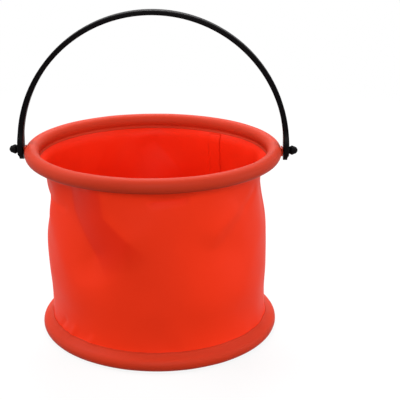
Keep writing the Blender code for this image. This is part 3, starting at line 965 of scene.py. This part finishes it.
def eye_cutter(name, depth, x):
    """A round bar along X at the pivots, as wide as the bail's eyes."""
    bm = bmesh.new()
    bmesh.ops.create_cone(
        bm, cap_ends=True, segments=ROUND_STEPS, radius1=EYE_RADIUS, radius2=EYE_RADIUS, depth=depth
    )
    bmesh.ops.rotate(bm, verts=bm.verts, matrix=Matrix.Rotation(math.pi / 2, 3, "Y"))
    bmesh.ops.translate(bm, verts=bm.verts, vec=(x, 0, RIM_HEIGHT))
    return loose_object(name, bm)


def make_bail():
    bm = bmesh.new()
    ring, edges = [], []
    for centre, out, *sizes in stations():
        places = [centre + out * o + Vector((0, w, 0)) for o, w in strap_section(*sizes)]
        if not ring:
            ring = [bm.verts.new(place) for place in places]
            edges = [bm.edges.new(pair) for pair in zip(ring, ring[1:] + ring[:1])]
            continue
        grown = bmesh.ops.extrude_edge_only(bm, edges=edges)["geom"]
        edges = [item for item in grown if isinstance(item, bmesh.types.BMEdge) and item.is_boundary]
        fresh = {item for item in grown if isinstance(item, bmesh.types.BMVert)}
        ring = [grown_from(corner, fresh) for corner in ring]
        for corner, place in zip(ring, places):
            corner.co = place
    bmesh.ops.holes_fill(bm, edges=[edge for edge in bm.edges if edge.is_boundary])
    bmesh.ops.recalc_face_normals(bm, faces=bm.faces)
    bmesh.ops.translate(bm, verts=bm.verts, vec=(0, 0, RIM_HEIGHT))
    piece = make_piece("bail", bm, bail_plastic, "bail", "bail_handle")
    cut(piece, eye_cutter("bail_eye", 3 * LUG_OUTSIDE, 0))
    piece.data.set_sharp_from_angle(angle=SHARP_ANGLE)
    return report(piece)


make_bail()

# %% [markdown]
# ## Studs
#
# Each stud has a flange inside the hoop, a stem that carries the bail, and a barbed head, which is
# split by a slot so that it can be squeezed through the bail's eye and then spring open. Cones and
# cylinders could be stacked, but one outline of distance and radius, spun about the pivot axis, is
# closed from the start and takes one round of bevels.

# %% Studs
ANCHOR_RADIUS = 0.0024
ANCHOR_THICKNESS = 0.0010
ANCHOR_FACE = 0.0019
BARB_ROOT_RADIUS = 0.0027
BARB_RADIUS = 0.0038
BARB_LENGTH = 0.0066
BARB_SHOULDER = BARB_LENGTH / 3
BARB_TIP_RADIUS = 0.0010
BARB_SLOT = 0.0009
STUD_EDGE = 0.00018
STUD_EDGE_ANGLE = math.radians(25)
STUD_SHARP_ANGLE = math.radians(35)


def stud_outline():
    head = LUG_OUTSIDE + GAP
    tip = head + BARB_LENGTH
    anchor = RIM_HOOP_RADIUS + ANCHOR_FACE
    barb = head + BARB_SHOULDER
    return [
        (anchor - ANCHOR_THICKNESS, 0),
        (anchor - ANCHOR_THICKNESS, ANCHOR_RADIUS),
        (anchor, ANCHOR_RADIUS),
        (anchor, STEM_RADIUS),
        (head, STEM_RADIUS),
        (head, BARB_ROOT_RADIUS),
        (barb, BARB_RADIUS),
        (tip - BARB_TIP_RADIUS, (BARB_RADIUS + BARB_TIP_RADIUS) / 2),
        (tip, BARB_TIP_RADIUS),
        (tip, 0),
    ]


def make_stud(word, side):
    bm = bmesh.new()
    draw_line(bm, [(along, 0, radius) for along, radius in stud_outline()])
    spin_round(bm, (1, 0, 0), ROUND_STEPS)
    bmesh.ops.remove_doubles(bm, verts=bm.verts, dist=MERGE_DISTANCE)
    bmesh.ops.recalc_face_normals(bm, faces=bm.faces)
    rings = [edge for edge in bm.edges if edge.calc_face_angle(0) > STUD_EDGE_ANGLE]
    bmesh.ops.bevel(
        bm, geom=rings, offset=STUD_EDGE, affect="EDGES", segments=3, profile=0.5, material=-1,
        clamp_overlap=True,
    )
    if side < 0:
        bmesh.ops.rotate(bm, verts=bm.verts, matrix=Matrix.Rotation(math.pi, 3, "Z"))
    bmesh.ops.translate(bm, verts=bm.verts, vec=(0, 0, RIM_HEIGHT))
    piece = make_piece(word + "_barbed_stud", bm, bail_plastic, "rim", word + "_stud")
    slot = bmesh.new()
    bmesh.ops.create_cube(slot, size=1)
    start = LUG_OUTSIDE + GAP + BARB_SHOULDER
    bmesh.ops.scale(slot, verts=slot.verts, vec=(BARB_LENGTH, BARB_SLOT, 4 * BARB_RADIUS))
    bmesh.ops.translate(slot, verts=slot.verts, vec=(side * (start + BARB_LENGTH / 2), 0, RIM_HEIGHT))
    cut(piece, loose_object("slot", slot))
    piece.data.set_sharp_from_angle(angle=STUD_SHARP_ANGLE)
    return report(piece)


for word, side in (("left", -1), ("right", 1)):
    make_stud(word, side)

# %% [markdown]
# ## Ears
#
# Where a stud comes out, a small ear of layered cloth covers the hem and keeps the stem from
# tearing it. It is a thick little pad with round edges, hollowed behind to sit on the hem. The pad
# could be bent to fit, but cutting a piece of the hem's own ring out of it gives an exact seat.

# %% Ears
EAR_WIDTH = 0.0086
EAR_RISE = 0.0026
EAR_DROP = 0.0040
EAR_WRAP = 0.0024
EAR_EDGE = 0.0009
EAR_HOLE_DEPTH = 0.02
SEAT_STEPS = 64
SEAT_TURN = math.radians(16)


def seat_cutter(side):
    """A short stretch of the rim hem's ring, a little fatter than the hem."""
    bm = bmesh.new()
    ring = bmesh.ops.create_circle(bm, segments=SEAT_STEPS, radius=HEM_RADIUS + GAP)["verts"]
    bmesh.ops.rotate(bm, verts=ring, matrix=Matrix.Rotation(math.pi / 2, 3, "X"))
    bmesh.ops.translate(bm, verts=ring, vec=(side * RIM_HOOP_RADIUS, 0, 0))
    bmesh.ops.rotate(bm, verts=ring, matrix=Matrix.Rotation(-SEAT_TURN / 2, 3, "Z"))
    bmesh.ops.spin(
        bm, geom=bm.verts[:] + bm.edges[:], cent=(0, 0, 0), axis=(0, 0, 1), dvec=(0, 0, 0),
        angle=SEAT_TURN, steps=16, use_merge=False, use_duplicate=False,
    )
    bmesh.ops.holes_fill(bm, edges=[edge for edge in bm.edges if edge.is_boundary])
    bmesh.ops.recalc_face_normals(bm, faces=bm.faces)
    bmesh.ops.translate(bm, verts=bm.verts, vec=(0, 0, RIM_HEIGHT))
    return loose_object("seat", bm)


def make_ear(word, side):
    depth = EAR_FACE - RIM_HOOP_RADIUS - HEM_RADIUS + EAR_WRAP
    bm = bmesh.new()
    bmesh.ops.create_cube(bm, size=1)
    bmesh.ops.scale(bm, verts=bm.verts, vec=(depth, EAR_WIDTH, EAR_RISE + EAR_DROP))
    middle = (side * (EAR_FACE - depth / 2), 0, (EAR_RISE - EAR_DROP) / 2)
    bmesh.ops.translate(bm, verts=bm.verts, vec=middle)
    bmesh.ops.bevel(
        bm, geom=bm.edges[:], offset=EAR_EDGE, affect="EDGES", segments=6, profile=0.5, material=-1
    )
    lay_flat(bm, lambda point: (point.y, point.z), (0, 0))
    bmesh.ops.translate(bm, verts=bm.verts, vec=(0, 0, RIM_HEIGHT))
    piece = make_piece(word + "_ear", bm, hem_cloth, "rim", word + "_ear_patch")
    cut(piece, seat_cutter(side), eye_cutter("hole", EAR_HOLE_DEPTH, side * EAR_FACE))
    piece.data.set_sharp_from_angle(angle=SHARP_ANGLE)
    return report(piece)


for word, side in (("left", -1), ("right", 1)):
    make_ear(word, side)

# %% [markdown]
# ## The hoops
#
# The tubes and the plugs that join their ends lie inside the hems, where hardly anything of them
# shows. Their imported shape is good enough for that, so they keep it and only take a finish.

# %% Hoop finish
hoop_pieces = ("rim_hoop_tube", "base_hoop_tube", "rim_tube_joiner", "base_tube_joiner")
for name in hoop_pieces:
    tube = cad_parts[name]
    tube.data.materials.clear()
    tube.data.materials.append(tube_plastic)
print("finished as packed:", ", ".join(hoop_pieces))

# %% [markdown]
# ## Floor and light
#
# The photograph has a plain white ground. The floor is white to the camera and in reflections, but
# a middling grey to the light that bounces, so it doesn't brighten the undersides. Near the bucket
# it takes a soft shadow, which fades away further out. Big soft lights stand above, at both sides
# and in front, and a dim white sky fills in.

# %% Floor
FLOOR_SIZE = 4
FLOOR_DROP = 0.0002
FLOOR_WHITE_SHARE = 0.86
FLOOR_SHADE_NEAR, FLOOR_SHADE_FAR = 0.25, 0.90
FLOOR_PAINT = 0.9
FLOOR_BOUNCE = 0.18


def white_to_camera(tree):
    """A factor that is 1 for what the camera, a reflection or a clear surface sees."""
    path = add_node(tree, "ShaderNodeLightPath")
    total = path.outputs["Is Camera Ray"]
    for label in ("Is Glossy Ray", "Is Transmission Ray"):
        either = add_node(tree, "ShaderNodeMath", operation="MAXIMUM")
        tree.links.new(total, either.inputs[0])
        tree.links.new(path.outputs[label], either.inputs[1])
        total = either.outputs[0]
    return total


def make_floor():
    bm = bmesh.new()
    bmesh.ops.create_grid(bm, x_segments=1, y_segments=1, size=FLOOR_SIZE)
    bmesh.ops.translate(bm, verts=bm.verts, vec=(0, 0, -FLOOR_DROP))
    floor = loose_object("floor", bm)
    made = bpy.data.materials.new("studio floor")
    made.use_nodes = True
    tree = made.node_tree
    tree.nodes.remove(tree.nodes["Principled BSDF"])
    seen = white_to_camera(tree)
    level = add_node(tree, "ShaderNodeMapRange", {"To Min": FLOOR_BOUNCE, "To Max": FLOOR_PAINT})
    tree.links.new(seen, level.inputs["Value"])
    paint = add_node(tree, "ShaderNodeBsdfDiffuse")
    tree.links.new(level.outputs["Result"], paint.inputs["Color"])
    white = add_node(tree, "ShaderNodeEmission", {"Color": (1, 1, 1, 1), "Strength": 1.0})
    place = add_node(tree, "ShaderNodeTexCoord")
    away = add_node(tree, "ShaderNodeVectorMath", operation="LENGTH")
    tree.links.new(place.outputs["Object"], away.inputs[0])
    fade = add_node(tree, "ShaderNodeMapRange", {
        "From Min": FLOOR_SHADE_NEAR, "From Max": FLOOR_SHADE_FAR, "To Min": FLOOR_WHITE_SHARE, "To Max": 1.0,
    })
    tree.links.new(away.outputs["Value"], fade.inputs["Value"])
    share = add_node(tree, "ShaderNodeMath", operation="MULTIPLY")
    tree.links.new(seen, share.inputs[0])
    tree.links.new(fade.outputs["Result"], share.inputs[1])
    both = add_node(tree, "ShaderNodeMixShader")
    tree.links.new(share.outputs[0], both.inputs["Fac"])
    tree.links.new(paint.outputs[0], both.inputs[1])
    tree.links.new(white.outputs[0], both.inputs[2])
    tree.links.new(both.outputs[0], tree.nodes["Material Output"].inputs["Surface"])
    floor.data.materials.append(made)
    return floor


print("floor:", make_floor().data.materials[0].name)

# %% [markdown]
# Lamps are set by the level that a white card would read where the bucket stands, facing the lamp.
# A flat lamp of power P, at a distance r, reads P divided by the square of pi times r, so the power
# follows from the level. Most light comes from above and a little behind, which makes the rim bright
# on top.

# %% Sky and lights
SKY_STRENGTH = 0.19
BUCKET_MIDDLE = Vector((0, 0, 0.10))
# name, place, width of the lamp and level at the bucket
lamps = (
    ("light behind", (0.0, 0.80, 1.20), 0.8, 1.03),
    ("top left light", (-0.90, 0.10, 1.20), 0.8, 0.56),
    ("top right light", (0.90, 0.10, 1.20), 0.8, 0.29),
    ("left light", (-1.55, -0.20, 0.25), 0.8, 0.27),
    ("right light", (1.55, -0.20, 0.25), 0.8, 0.36),
    ("front light", (0.15, -1.55, 0.75), 0.9, 0.59),
)


def set_sky():
    sky = bpy.data.worlds.new("studio sky")
    bpy.context.scene.world = sky
    sky.use_nodes = True
    tree = sky.node_tree
    ground = tree.nodes["Background"]
    ground.inputs["Color"].default_value = (1, 1, 1, 1)
    level = add_node(tree, "ShaderNodeMapRange", {"To Min": SKY_STRENGTH, "To Max": 1.0})
    tree.links.new(white_to_camera(tree), level.inputs["Value"])
    tree.links.new(level.outputs["Result"], ground.inputs["Strength"])


def add_light(name, place, size, level):
    lamp = bpy.data.lights.new(name, "AREA")
    lamp.shape = "DISK"
    lamp.size = size
    away = Vector(place) - BUCKET_MIDDLE
    lamp.energy = level * (math.pi * away.length) ** 2
    made = bpy.data.objects.new(name, lamp)
    made.matrix_world = Matrix.Translation(place) @ away.to_track_quat("Z", "Y").to_matrix().to_4x4()
    bpy.context.scene.collection.objects.link(made)
    print(name, round(lamp.energy, 1), "W")


set_sky()
for row in lamps:
    add_light(*row)
bpy.context.scene.view_settings.view_transform = "Standard"
